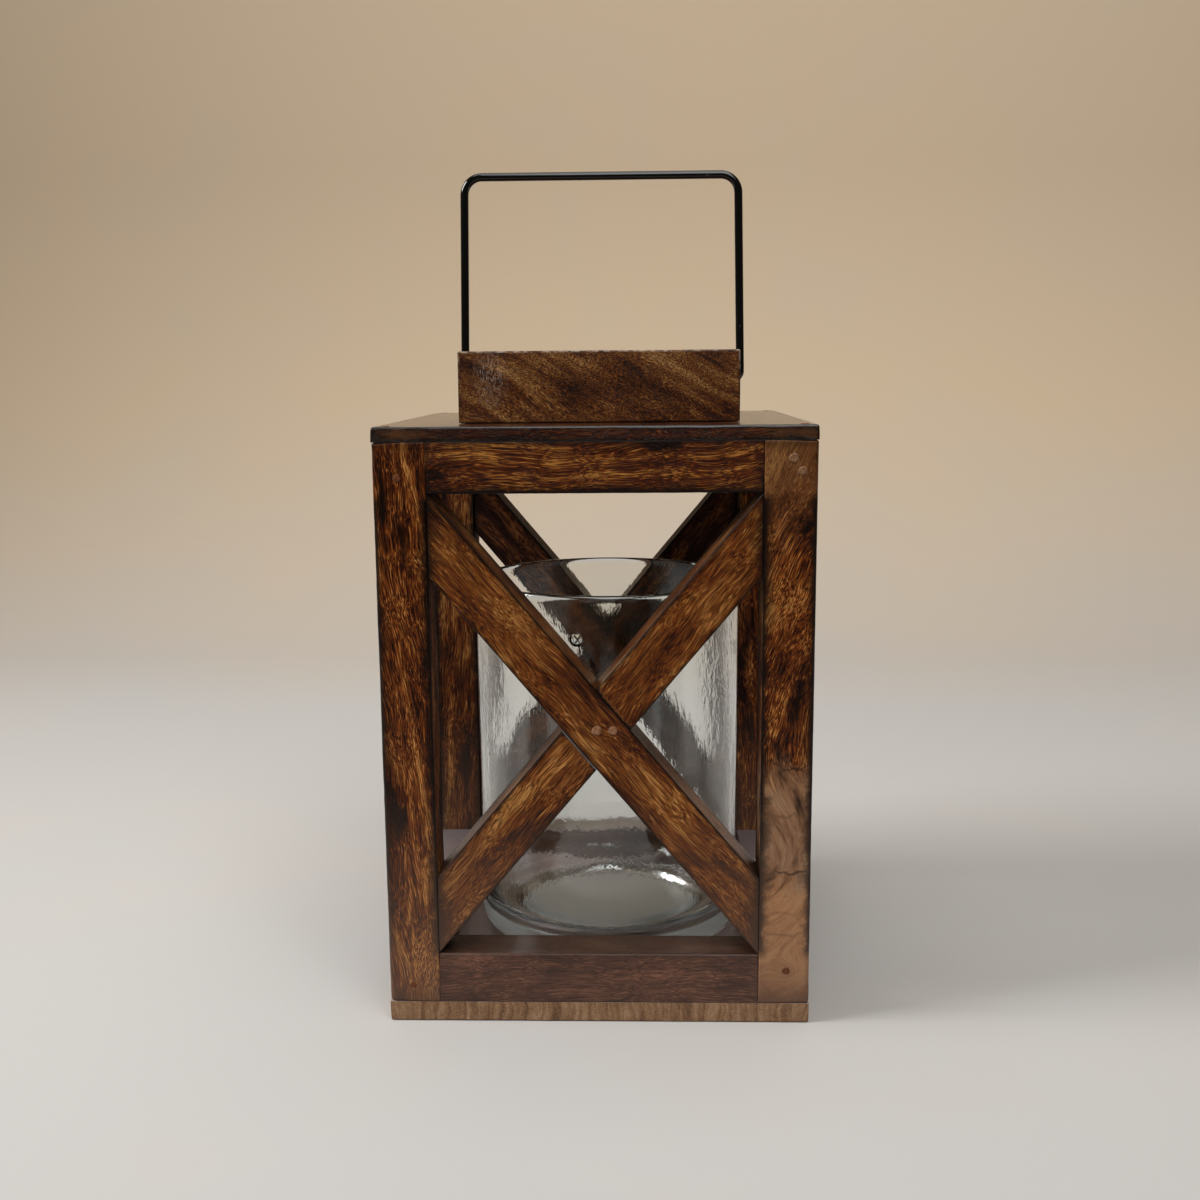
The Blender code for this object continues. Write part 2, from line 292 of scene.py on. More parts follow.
def timber_tree():
    """The Geometry Nodes tree that makes one worn timber, lying along X around the origin."""
    add, given, tree = new_tree("worn timber", TIMBER_INPUTS)
    half = add(VECTOR, given["Size"], 0.5, operation="SCALE")

    # A cube from -1 to 1, with a cell count that suits each side
    cell = add(JOIN, given["Cell"], given["Cell"], given["Cell"])
    across = add(VECTOR, add(VECTOR, given["Size"], cell, operation="DIVIDE"), operation="CEIL")
    cells = add(VECTOR, across, (2 * EDGE_ROWS,) * 3)
    counts = add(SPLIT, add(VECTOR, cells, (1, 1, 1)))
    named = {"Vertices " + axis: counts.outputs[axis] for axis in "XYZ"}
    cube = add("GeometryNodeMeshCube", (2, 2, 2), named=named)

    # Spread the grid over the real size, with EDGE_ROWS rows inside the rounding
    point = add("GeometryNodeInputPosition")
    side = add(VECTOR, point, operation="SIGN")
    zone = add(MATH, given["Worn Arris"], ZONE, **TIMES)
    zone = add(JOIN, zone, zone, zone)
    rim = add(VECTOR, (2 * EDGE_ROWS,) * 3, cells, operation="DIVIDE")
    start = add(VECTOR, (1, 1, 1), rim, **MINUS)
    reach = add(VECTOR, point, operation="ABSOLUTE")
    flat = add(VECTOR, half, zone, **MINUS)
    inner = add(RANGE, reach, (0, 0, 0), start, (0, 0, 0), flat, data_type="FLOAT_VECTOR")
    outer = add(RANGE, reach, start, (1, 1, 1), (0, 0, 0), zone, data_type="FLOAT_VECTOR")
    spread = add(VECTOR, add(VECTOR, inner, outer), side, **TIMES)
    box = add("GeometryNodeSetPosition", named={"Geometry": cube.outputs["Mesh"], "Position": spread})

    # How much this point belongs to the worn edges, from 0 to 1
    corner = given["Worn Corner"]
    towards = add(VECTOR, add(VECTOR, point, half, operation="DIVIDE"), corner, operation="DOT_PRODUCT")
    behind = add(MATH, add(VECTOR, corner, corner, operation="DOT_PRODUCT"), towards, **MINUS)
    worn_here = add(RANGE, behind, 1.2, 0.2, 0.0, 1.0)

    # The middle one of the distances to the three faces is the distance to the nearest edge
    depth = add(VECTOR, half, add(VECTOR, point, operation="ABSOLUTE"), **MINUS)
    dx, dy, dz = add(SPLIT, depth).outputs
    lowest = add(MATH, dx, add(MATH, dy, dz, operation="MINIMUM"), operation="MINIMUM")
    highest = add(MATH, dx, add(MATH, dy, dz, operation="MAXIMUM"), operation="MAXIMUM")
    total = add(MATH, dx, add(MATH, dy, dz))
    middle = add(MATH, add(MATH, total, lowest, **MINUS), highest, **MINUS)
    relief = add(MATH, 1.0, worn_here, **MINUS)
    relief = add(MATH, relief, given["Seam Relief"], **TIMES)
    shape = box
    for title, value in (("edge", add(MATH, middle, relief)), ("butt", dx)):
        named = {"Geometry": shape, "Name": title, "Value": value}
        shape = add("GeometryNodeStoreNamedAttribute", named=named, data_type="FLOAT", domain="POINT")

    # The rounding radius: larger at the worn edges, wandering everywhere
    wander = add(NOISE, point, given["Seed"], 70.0, 3.0, noise_dimensions="4D")
    wander = add(MATH, 0.45, wander)
    radii = []
    for plain, worn in (("End Arris", "Worn End"), ("Arris", "Worn Arris")):
        extra = add(MATH, given[worn], given[plain], **MINUS)
        radius = add(MATH, given[plain], add(MATH, extra, worn_here, **TIMES))
        radii.append(add(MATH, radius, wander, **TIMES))
    radii = add(JOIN, radii[0], radii[1], radii[1])
    reach = add(VECTOR, point, operation="ABSOLUTE")
    core = add(VECTOR, reach, add(VECTOR, half, radii, **MINUS), operation="MINIMUM")
    core = add(VECTOR, core, add(VECTOR, point, operation="SIGN"), **TIMES)
    away = add(VECTOR, add(VECTOR, point, core, **MINUS), radii, operation="DIVIDE")
    outward = add(VECTOR, away, operation="NORMALIZE")
    rounded = add(VECTOR, core, add(VECTOR, outward, radii, **TIMES))

    # Sanding waves push the surface in, never out
    waves = add(NOISE, point, add(MATH, given["Seed"], 7.0), 130.0, 2.0, noise_dimensions="4D")
    push = add(MATH, add(MATH, waves, given["Unevenness"], **TIMES), -1.0, **TIMES)
    worn = add(VECTOR, rounded, add(VECTOR, outward, push, operation="SCALE"))

    # A brace falls along X: shear it
    x, y, z = add(SPLIT, worn).outputs
    fallen = add(MATH, z, add(MATH, x, given["Fall"], **TIMES), **MINUS)
    shaped = add("GeometryNodeSetPosition", named={"Geometry": shape, "Position": add(JOIN, x, y, fallen)})

    # Where in the log each point lies
    named = {"Rotation": given["Log Turn"]}
    turned = add("ShaderNodeVectorRotate", point, named=named, rotation_type="EULER_XYZ")
    named = {"Geometry": shaped, "Name": "grain", "Value": add(VECTOR, turned, given["Log Place"])}
    grain = add("GeometryNodeStoreNamedAttribute", named=named, data_type="FLOAT_VECTOR", domain="POINT")
    finish_tree(add, grain, given["Material"])
    return tree


TIMBER_TREE = timber_tree()
print("timber tree:", len(TIMBER_TREE.nodes), "nodes")

# %% [markdown]
# A tree is used through a modifier on a plain object. The next helper sets a modifier's inputs by their
# identifiers, evaluates it, keeps the result as a plain mesh in its place, and drops the modifier.


# %% Running a tree
def plain_copy(carrier):
    """The evaluated mesh of an object with its modifiers."""
    return bpy.data.meshes.new_from_object(carrier.evaluated_get(bpy.context.evaluated_depsgraph_get()))


def new_piece(name, mesh):
    """A mesh as an object at the origin."""
    mesh.name = name
    piece = bpy.data.objects.new(name, mesh)
    bpy.context.scene.collection.objects.link(piece)
    return piece


def run_tree(name, tree, inputs, place=None, start=None):
    """Evaluate a Geometry Nodes tree into a plain mesh object, with its place in the mesh."""
    carrier = new_piece(name + "_start", start or bpy.data.meshes.new(name))
    modifier = carrier.modifiers.new("tree", "NODES")
    modifier.node_group = tree
    for item in tree.interface.items_tree:
        if item.in_out == "INPUT" and item.name in inputs:
            modifier[item.identifier] = inputs[item.name]
    mesh = plain_copy(carrier)
    bpy.data.objects.remove(carrier)
    mesh.transform(place or Matrix.Identity(4))
    return new_piece(name, mesh)


def stands_for(piece, body, slot, *nodes):
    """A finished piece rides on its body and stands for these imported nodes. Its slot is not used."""
    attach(piece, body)
    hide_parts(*nodes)


# %% [markdown]
# ## Stained and lacquered hardwood
#
# The wood is an open-grained tropical hardwood, stained brown, scorched at its edges and lacquered. The eye
# reads several sizes of pattern: bands of growth a few millimetres wide, streaks and dark fibre lines along
# the grain, short pores, and smoky patches where the flame stayed longer. All of it is worked out in the
# log's own millimetres, so it runs along each timber and shows rings at its ends. A knot pushes the grain
# aside by a bump in those coordinates, and all patterns follow it.
#
# Over that lie the marks of making and use: paler parts where the stain was sanded thin, cracks across the
# grain and a duller, thinly wiped inside. Some light is painted in as well: grey low down is a painted
# reflection of the floor, dark upper faces are painted shade, grey upper faces a painted sheen, and pale
# flecks on the block's upper edge are partly a painted highlight.

# %% Wood finish
SCORCH = "0B0402"
# Grey painted low down on the wood: a painted reflection of the pale floor.
FLOOR_REFLECTION_GREY = "6E584C"
FLOOR_REFLECTION_HEIGHTS = (12.0, 82.0)  # in mm: the full painted floor reflection below the first, none above the second
# Pale rubbed wood, also painted as a highlight on the block's upper edge.
RUBBED_WOOD_AND_HIGHLIGHT = "C3B2A2"
EDGE_HIGHLIGHT_HEIGHTS = (226.0, 234.0)  # in mm: the pale flecks, worn edge with a painted highlight, keep to the block's upper edge
SMOKE_SHARE = 0.7
TONE_SPREAD = 0.27
PATCH_SWAY = 40.0  # how far, in mm, smoke bends the limits of pale parts and of the painted floor reflection


def along_grain(add, path, stretch, across, detail, roughness, sheet=None):
    """Noise drawn out along the grain: features are stretch mm long, across mm wide and sheet mm deep."""
    scale = (1 / stretch, 1 / (sheet or across), 1 / across)
    return add(NOISE, add(VECTOR, path, scale, **TIMES), 1.0, detail, roughness)


def stained_wood(name, stains, edge=(5.0, 1.0), butt=(8.0, 0.6), calm_ends=0.0, patches=0.9, lines=0.9,
                 gloss=0.3, coat=0.05, bands_share=0.7, bands_width=5.0, contrast=1.35,
                 shine=0.12, floor_reflection=0.45, knots=(), cracks=(), pale=(), ends=None, scuffs_and_highlight=None, painted_top_light=None):
    """A stained hardwood.

    stains are four colours from dark to light. edge and butt are (reach in mm, strength) of the scorching,
    and calm_ends is how far in mm from the ends the edges stay unscorched.
    patches and lines are how strongly smoky patches and dark fibre lines show. bands_width is in mm.
    gloss is the roughness, coat the share of clear lacquer, and contrast how far the stains are spread.
    shine is the specular level. The next number is how much greyer the wood is painted close to the ground, a
    painted reflection of the floor.
    knots are (place, spread, push) in mm, and cracks are (height, sway, strength) of lines across the grain.
    pale holds (colour, from height, to height, share) of lighter parts, and ends is (colour, reach in mm).
    The rubbed spot is (place, spread) in mm and also brings pale flecks, worn edge with a painted highlight,
    to the block's top.
    The last argument is (colour, share) painted on upper faces: dark for painted shade, grey for painted
    sheen."""
    add, shader, material = new_material(name)
    place = add(VECTOR, add("ShaderNodeTexCoord").outputs["Object"], 1000.0, operation="SCALE")
    log = add("ShaderNodeAttribute", attribute_name="grain").outputs["Vector"]
    log = add(VECTOR, log, 1000.0, operation="SCALE")

    # Knots: a bell-shaped push
    for spot, spread, push in knots:
        away = add(VECTOR, add(VECTOR, place, spot, **MINUS), spread, operation="DIVIDE")
        squared = add(VECTOR, away, away, operation="DOT_PRODUCT")
        bell = add(MATH, math.exp(-0.5), squared, operation="POWER")
        log = add(VECTOR, log, add(VECTOR, push, bell, operation="SCALE"))

    # Let the fibres wander: some millimetres slowly, and a little quickly
    path = log
    for stretch, across, sway in ((45.0, 22.0, 11.0), (18.0, 7.0, 0.6)):
        drift = along_grain(add, log, stretch, across, 2.0, 0.5).outputs["Color"]
        drift = add(VECTOR, drift, (0.5, 0.5, 0.5), **MINUS)
        path = add(VECTOR, path, add(VECTOR, drift, (0.0, sway, sway), **TIMES))

    bands = along_grain(add, path, 90.0, bands_width, 4.0, 0.65, sheet=30.0)
    streaks = along_grain(add, path, 12.0, 0.3, 2.0, 0.5)
    fibres = add(RANGE, along_grain(add, path, 8.0, 0.26, 2.0, 0.6), 0.5, 0.64)
    pores = add(RANGE, along_grain(add, path, 2.4, 0.25, 2.0, 0.5), 0.55, 0.64)
    smoke = along_grain(add, path, 34.0, 11.0, 4.0, 0.62)

    # One number for how light the wood is, then a ramp of four stains
    tone = add(MATH, add(MATH, bands, bands_share, **TIMES), streaks)
    tone = add(MATH, tone, add(MATH, smoke, SMOKE_SHARE, **TIMES))
    usual = 0.5 * (bands_share + 1.0 + SMOKE_SHARE)
    tone = add(RANGE, tone, usual - TONE_SPREAD / contrast, usual + TONE_SPREAD / contrast)
    ramp = add("ShaderNodeValToRGB", tone)
    for position, stain in zip((0.0, 0.33, 0.67, 1.0), stains):
        if 0 < position < 1:
            ramp.color_ramp.elements.new(position)
        stop = min(ramp.color_ramp.elements, key=lambda e: abs(e.position - position))
        stop.color = linear(stain)
    colour = ramp.outputs["Color"]
    height = add(SPLIT, place).outputs["Z"]
    lift = add(MATH, add(MATH, smoke, 0.5, **MINUS), PATCH_SWAY, **TIMES)
    swaying = add(MATH, height, lift)
    quiet = add(RANGE, smoke, 0.3, 0.62)
    for lighter, start, end, most in pale:
        share = add(RANGE, swaying, start, end, 0.0, most)
        even = add(MATH, quiet, tone, 0.5, operation="MULTIPLY_ADD")
        soft = add(MIX, even, linear(stains[2]), linear(lighter), data_type="RGBA")
        colour = add(MIX, share, colour, soft, data_type="RGBA")
        calm = add(RANGE, share, 0.3, 1.0, 1.0, 0.2)
        fibres = add(MATH, fibres, calm, **TIMES)
        pores = add(MATH, pores, calm, **TIMES)
    if ends:
        warmer, reach = ends
        inward = add("ShaderNodeAttribute", attribute_name="butt").outputs["Fac"]
        share = add(RANGE, inward, reach * MM, 0.75 * reach * MM, 0.0, 0.8)
        colour = add(MIX, share, colour, linear(warmer), data_type="RGBA")

    # Dark fibre lines, pores, smoky patches, scorched edges and ends
    ragged = add(RANGE, add(NOISE, place, 0.16, 4.0, 0.7), 0.3, 0.7, 0.3, 1.7)
    shade = add(MATH, fibres, lines, **TIMES)
    shade = add(MATH, shade, add(MATH, pores, 0.6, **TIMES), operation="MAXIMUM")
    patch = add(RANGE, smoke, 0.46, 0.34, 0.0, patches)
    shade = add(MATH, shade, patch, operation="MAXIMUM")
    for title, (far, strength) in (("edge", edge), ("butt", butt)):
        distance = add("ShaderNodeAttribute", attribute_name=title).outputs["Fac"]
        limit = add(MATH, ragged, far * MM, **TIMES)
        near = add(RANGE, distance, 0.0, limit, strength, 0.0, interpolation_type="SMOOTHSTEP")
        if title == "edge" and calm_ends:
            inward = add("ShaderNodeAttribute", attribute_name="butt").outputs["Fac"]
            calm = add(RANGE, inward, (calm_ends - 4.0) * MM, calm_ends * MM, 0.15, 1.0)
            near = add(MATH, near, calm, **TIMES)
        shade = add(MATH, shade, near, operation="MAXIMUM")
    for crack, sway, strength in cracks:
        drift = add(NOISE, add(VECTOR, place, (0.09, 0.09, 0.03), **TIMES), 1.0, 5.0, 0.62)
        drift = add(MATH, add(MATH, drift, 0.5, **MINUS), sway, **TIMES)
        off = add(MATH, add(MATH, height, crack, **MINUS), drift, **MINUS)
        line = add(RANGE, add(MATH, off, operation="ABSOLUTE"), 0.25, 0.8, strength, 0.0)
        shade = add(MATH, shade, line, operation="MAXIMUM")
    colour = add(MIX, shade, colour, linear(SCORCH), data_type="RGBA")
    # Greyer towards the bottom: a painted reflection of the floor.
    painted_floor_reflection = add(RANGE, swaying, *FLOOR_REFLECTION_HEIGHTS, floor_reflection, 0.0)
    colour = add(MIX, painted_floor_reflection, colour, linear(FLOOR_REFLECTION_GREY), data_type="RGBA")

    # Upper faces painted towards a colour: painted shade where it is dark, painted sheen where it is grey.
    if painted_top_light:
        painted_top_colour, share = painted_top_light
        upward = add(SPLIT, add("ShaderNodeTexCoord").outputs["Normal"]).outputs["Z"]
        upward = add(RANGE, upward, 0.6, 0.95, 0.0, share)
        colour = add(MIX, upward, colour, linear(painted_top_colour), data_type="RGBA")

    if scuffs_and_highlight:
        spot, spread = scuffs_and_highlight
        away = add(VECTOR, add(VECTOR, place, spot, **MINUS), spread, operation="DIVIDE")
        close = add(RANGE, add(VECTOR, away, operation="LENGTH"), 1.0, 0.3, 0.0, 1.0)
        scratches = add(NOISE, add(VECTOR, place, (1.8, 1.8, 0.6), **TIMES), 1.0, 4.0, 0.7)
        rub_and_highlight = add(RANGE, scratches, 0.5, 0.66, 0.0, 0.6)
        worn = add("ShaderNodeAttribute", attribute_name="edge").outputs["Fac"]
        worn = add(RANGE, worn, 0.9 * MM, 0.3 * MM, 0.0, 1.0)
        # Pale flecks on worn edges near the block's top: worn edge with a painted highlight.
        worn_edge_highlight = add(RANGE, add(NOISE, place, 0.35, 3.0, 0.6), 0.45, 0.6, 0.0, 0.4)
        worn_edge_highlight = add(MATH, worn_edge_highlight, add(RANGE, height, *EDGE_HIGHLIGHT_HEIGHTS), **TIMES)
        rub_and_highlight = add(MATH, rub_and_highlight, close, **TIMES)
        worn_edge_highlight = add(MATH, worn_edge_highlight, worn, **TIMES)
        rub_and_highlight = add(MATH, rub_and_highlight, worn_edge_highlight, operation="MAXIMUM")
        colour = add(MIX, rub_and_highlight, colour, linear(RUBBED_WOOD_AND_HIGHLIGHT), data_type="RGBA")

    # The faces towards the candle got only a thin wipe of lacquer
    outward = add(VECTOR, place, (1.0, 1.0, 0.0), **TIMES)
    outward = add(VECTOR, add("ShaderNodeTexCoord").outputs["Normal"], outward, operation="DOT_PRODUCT")
    dull = add(RANGE, outward, -5.0, -20.0, 0.0, 0.35)
    rough = add(MATH, add(RANGE, ragged, 0.3, 1.7, gloss, gloss + 0.12), dull)
    skin = add(MATH, streaks, 0.5, **TIMES)
    skin = add(MATH, skin, add(MATH, pores, 0.45, **TIMES), **MINUS)
    skin = add(MATH, skin, add(MATH, fibres, 0.25, **TIMES), **MINUS)
    bump = add("ShaderNodeBump", named={"Height": skin, "Strength": 0.45, "Distance": 0.25 * MM})
    feed(shader, Base_Color=colour, Roughness=rough, Normal=bump, Specular_IOR_Level=shine)
    feed(shader, Coat_Weight=add(RANGE, dull, 0.0, 0.2, coat, 0.0), Coat_Roughness=0.15)
    return material


POST_STAINS = ("160703", "56260C", "844618", "C68A4A")
POST_WOOD = stained_wood("stained hardwood, posts", POST_STAINS, calm_ends=20.0)
KNOTTY_WOOD = stained_wood(
    "stained hardwood, knotty post", POST_STAINS, calm_ends=20.0,
    pale=(
        ("9A7A5E", 98.0, 86.0, 0.9),
        ("BC8A5E", 56.0, 48.0, 0.8),
        ("5E4030", 24.0, 14.0, 0.5),
        ("6E5034", 168.0, 192.0, 0.6),
    ),
    cracks=((93.0, 22.0, 0.75), (77.0, 16.0, 0.4), (55.0, 18.0, 0.8), (41.0, 9.0, 0.25), (33.0, 9.0, 0.35)),
    knots=(
        ((64.0, -75.0, 58.0), (14.0, 16.0, 20.0), (0.0, 0.0, 30.0)),
        ((69.0, -75.0, 19.0), (5.0, 6.0, 4.0), (0.0, 0.0, 11.0)),
    ),
)
RAIL_WOOD = stained_wood(
    "stained hardwood, rails", ("120502", "421A08", "64300F", "AE7434"), butt=(4.0, 0.3), bands_width=3.0,
    contrast=1.15,
)
LOW_RAIL_LOOK = {
    "stains": ("2A1610", "4A2C20", "5E3A2A", "845844"),
    "lines": 0.5,
    "patches": 0.6,
    "edge": (2.5, 0.6),
    "butt": (20.0, 0.4),
    "shine": 0.22,
}
# The dark colour on the front low rail's upper face is painted shade.
LOW_RAIL_WOOD = stained_wood(
    "stained hardwood, front low rail", coat=0.15, floor_reflection=0.15, painted_top_light=("241812", 0.6), **LOW_RAIL_LOOK,
)
# The grey on these low rails' upper faces is a painted sheen: the pale paper reflected at a glancing angle.
SHEEN_LOW_RAIL_WOOD = stained_wood(
    "stained hardwood, low rails with painted sheen", coat=0.4, painted_top_light=("787274", 0.6), **LOW_RAIL_LOOK,
)
# The dark colour on the braces' upper faces is painted shade.
BRACE_WOOD = stained_wood(
    "stained hardwood, braces", ("240E06", "64300E", "844C1C", "BE884A"), edge=(3.2, 1.0), butt=(7.0, 0.9),
    patches=0.5, contrast=1.15, painted_top_light=("1E1612", 0.5),
)
# Darker stains than the front braces: partly their own stain, partly painted shade of the lantern's inside.
SHADED_BACK_BRACE_WOOD = stained_wood(
    "stained hardwood, back braces with painted shade", ("120602", "34160A", "542A12", "8C562C"),
    edge=(3.2, 1.0), butt=(7.0, 0.9),
)
# The grey on the board's upper face is a painted sheen, and it also lightens the board seen through the
# glass.
BASE_WOOD = stained_wood(
    "stained hardwood, base", ("744C2E", "9C7048", "AC8058", "C8A078"), edge=(0.8, 0.6), butt=(1.0, 0.4),
    patches=0.35, lines=0.45, shine=0.22, floor_reflection=0.0, coat=0.5, bands_share=1.4, bands_width=1.8, contrast=1.1,
    painted_top_light=("94898A", 0.7),
)
TOP_WOOD = stained_wood(
    "stained hardwood, top", ("120502", "2C0E05", "3C170A", "6A3C20"), edge=(3.0, 1.0), butt=(3.0, 0.6),
    gloss=0.14, coat=0.5, shine=0.22, contrast=1.2, ends=("5A3618", 20.0),
)
# The block's rubbed spot brings pale flecks on its upper edge: worn edge with a painted highlight.
BLOCK_WOOD = stained_wood(
    "stained hardwood, block", ("1A0C06", "54290F", "74461C", "A67A48"), edge=(1.4, 0.7), butt=(1.5, 0.5),
    patches=0.4, bands_share=0.9, bands_width=4.0, contrast=1.1, shine=0.16,
    scuffs_and_highlight=((-37.0, -50.0, 228.0), (7.0, 20.0, 12.0)),
)

# %% [markdown]
# ## The frame's timbers
#
# A timber lies along X in its tree, so each one is turned the way it runs in the lantern and moved to the
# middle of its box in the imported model. Each is cut from its own place in the log, so no two look alike.

# %% Timber sizes and the ways they run
TIMBER_CELL = 1.4 * MM
SEAM_CLOSE = 0.35 * MM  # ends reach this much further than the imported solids, for tight joints
ALONG_X = Matrix.Identity(4)
ALONG_Y = Matrix.Rotation(math.pi / 2, 4, "Z")
UPRIGHT = Matrix.Rotation(-math.pi / 2, 4, "Y")


def worn_timber(name, way, material, seed, low, high, arris=0.12, end_arris=0.06, worn=0.3, worn_end=0.06,
                worn_corner=(0, 0, 0), relief=0.0, fall=0.0, unevenness=0.25, turn=(0, 0, 0), log_place=None):
    """A timber that fills the box from low to high, running the given way. Radii and waves are in mm."""
    into_tree = way.to_3x3().transposed()
    size = Vector([abs(side) for side in into_tree @ (Vector(high) - Vector(low))])
    inputs = {
        "Size": size,
        "Fall": fall,
        "Cell": TIMBER_CELL,
        "Arris": arris * MM,
        "End Arris": end_arris * MM,
        "Worn Arris": max(worn, arris) * MM,
        "Worn End": max(worn_end, end_arris) * MM,
        "Worn Corner": into_tree @ Vector(worn_corner),
        "Seam Relief": relief * MM,
        "Unevenness": unevenness * MM,
        "Log Turn": [math.radians(angle) for angle in turn],
        "Log Place": log_place or (0.31 * seed, 0.028 + 0.011 * (seed % 5), 0.017 * ((seed * 7) % 6 - 2.5)),
        "Seed": float(seed),
        "Material": material,
    }
    return run_tree(name, TIMBER_TREE, inputs, Matrix.Translation((Vector(low) + Vector(high)) / 2) @ way)


# %% [markdown]
# The four posts carry everything. Only the lantern's outer corners are rubbed, and the front right post is
# a knottier, partly paler stick.

# %% Posts
CORNERS = {"front_left": (-1, -1), "front_right": (1, -1), "back_right": (1, 1), "back_left": (-1, 1)}
POST_TURNS = {
    "front_left": (0, 7, -4),
    "front_right": (0, -22, 7),
    "back_right": (0, 3, 2),
    "back_left": (0, -4, 3),
}

for seed, (corner, (x, y)) in enumerate(CORNERS.items(), start=1):
    low, high = (Vector(end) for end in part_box("post_" + corner))
    low.z -= SEAM_CLOSE
    high.z += SEAM_CLOSE
    wood = KNOTTY_WOOD if corner == "front_right" else POST_WOOD
    post = worn_timber(
        "post_" + corner + "_worn", UPRIGHT, wood, seed, low, high,
        worn=1.9, worn_corner=(x, y, 0), turn=POST_TURNS[corner],
    )
    stands_for(post, "frame", "post_wood", "post_" + corner)
    print(post.name, len(post.data.polygons), "faces")

# %% [markdown]
# Two rails close each side between the posts. The low ones are painted greyer low down, a painted reflection
# of the floor, with painted shade on the front one's upper face and painted sheen on the others'. Only the
# edges that face an opening are rubbed. The seam relief keeps the scorching off the edges that lie against a
# board.

# %% Rails
SIDES = {"front": ALONG_X, "right": ALONG_Y, "back": ALONG_X, "left": ALONG_Y}

for number, (side, way) in enumerate(SIDES.items()):
    low_wood = LOW_RAIL_WOOD if side == "front" else SHEEN_LOW_RAIL_WOOD
    for level, opening, wood in (("low", 1, low_wood), ("high", -1, RAIL_WOOD)):
        name = f"rail_{side}_{level}"
        low, high = (Vector(end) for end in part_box(name))
        longer = way.to_3x3() @ Vector((SEAM_CLOSE, 0, 0))
        if level == "low":
            low.z -= SEAM_CLOSE
        else:
            high.z += SEAM_CLOSE
        rail = worn_timber(
            name + "_worn", way, wood, 11 + number - 4 * opening, low - longer, high + longer,
            worn=1.0, worn_corner=(0, 0, opening), relief=1.6, turn=(0, 2 - number, 3 * opening),
        )
        stands_for(rail, "frame", "rail_wood", name)
print("rails:", 2 * len(SIDES))

# %% [markdown]
# ## Braces
#
# Each brace is a bar that falls across its opening, its ends cut upright to sit against the posts. Where two
# cross, each loses half its depth, so both stay flush. The fall follows from the opening's size and the
# brace's width, and the notch is cut with a copy of the other brace.

# %% Braces with their half-laps
BRACE_WIDTH = 18.3 * MM
LAP_GAP = 0.12 * MM
PAST_FACE = 1.0 * MM


def brace_fall(width, height):
    """How steeply a brace falls when it just fills an opening from corner to corner."""
    diagonal = math.sqrt(width**2 + height**2 - BRACE_WIDTH**2)
    return (width * height - BRACE_WIDTH * diagonal) / (width**2 - BRACE_WIDTH**2)


def notch(piece, centre, size, fall):
    """Cut a falling box out of the piece for good."""
    shear = Matrix.Identity(4)
    shear[2][0] = -fall
    shape = bmesh.new()
    place = Matrix.Translation(centre) @ shear @ Matrix.Diagonal((*size, 1.0))
    bmesh.ops.create_cube(shape, size=1.0, matrix=place)
    mesh = bpy.data.meshes.new("lap")
    shape.to_mesh(mesh)
    shape.free()
    cutter = new_piece("lap", mesh)
    modifier = piece.modifiers.new("lap", "BOOLEAN")
    modifier.object = cutter
    modifier.operation = "DIFFERENCE"
    cut = plain_copy(piece)
    piece.modifiers.remove(modifier)
    piece.data = cut
    bpy.data.objects.remove(cutter)


for number, (side, facing, wood) in enumerate((("front", -1, BRACE_WOOD), ("back", 1, SHADED_BACK_BRACE_WOOD))):
    near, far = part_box(f"brace_{side}_falling")
    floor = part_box(f"rail_{side}_low")[1].z
    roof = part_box(f"rail_{side}_high")[0].z
    width = far.x - near.x
    fall = brace_fall(width, roof - floor)
    tall = roof - floor - fall * width
    middle = (near + far) / 2
    middle.z = (roof + floor) / 2
    depth = far.y - near.y
    # The falling brace runs through in front, as seen from its own side of the lantern
    for kind, outer in (("falling", 1), ("rising", -1)):
        slope = -facing * outer * fall
        name = f"brace_{side}_{kind}"
        half = Vector((width / 2 + SEAM_CLOSE, depth / 2, tall / 2))
        brace = worn_timber(
            name + "_worn", ALONG_X, wood, 21 + 2 * number + (outer < 0), middle - half, middle + half,
            fall=slope, arris=0.8, worn=0.8, turn=(0, math.degrees(-math.atan(slope)) + 2, 2),
        )
        lap = middle.copy()
        lap.y -= facing * outer * (depth / 4 + PAST_FACE / 2)
        size = (1.2 * width, depth / 2 + LAP_GAP + PAST_FACE, tall + 2 * LAP_GAP * math.sqrt(1 + fall**2))
        notch(brace, lap, size, -slope)
        stands_for(brace, "frame", "brace_wood", name)
        print(brace.name, "falls", round(math.degrees(math.atan(slope)), 1), "degrees")

# %% [markdown]
# The base and top boards and the block are wide pieces of the same timber, so the same tree makes them. Only
# their free edges are rubbed: the lower ones of the base, the upper ones of the top board and the block.

# %% Boards and block
BASE_SHAPE = {"worn_corner": (0, 0, -1), "worn": 0.8, "worn_end": 0.8, "turn": (90, 0, 0)}
TOP_SHAPE = {"worn_corner": (0, 0, 1), "worn": 1.1, "worn_end": 1.1, "arris": 0.04}
BLOCK_SHAPE = {"worn_corner": (0, 0, 1), "worn": 0.9, "worn_end": 0.9, "end_arris": 0.6, "arris": 0.4}
BLOCK_LOG = {"turn": (0, -29, 20), "log_place": (0.2, 0.16, 0.12)}
BOARDS = (
    ("base_board", ALONG_Y, BASE_WOOD, "base_wood", 31, BASE_SHAPE),
    ("top_board", ALONG_X, TOP_WOOD, "top_wood", 32, TOP_SHAPE),
    ("top_block", ALONG_X, BLOCK_WOOD, "block_wood", 33, {**BLOCK_SHAPE, **BLOCK_LOG}),
)
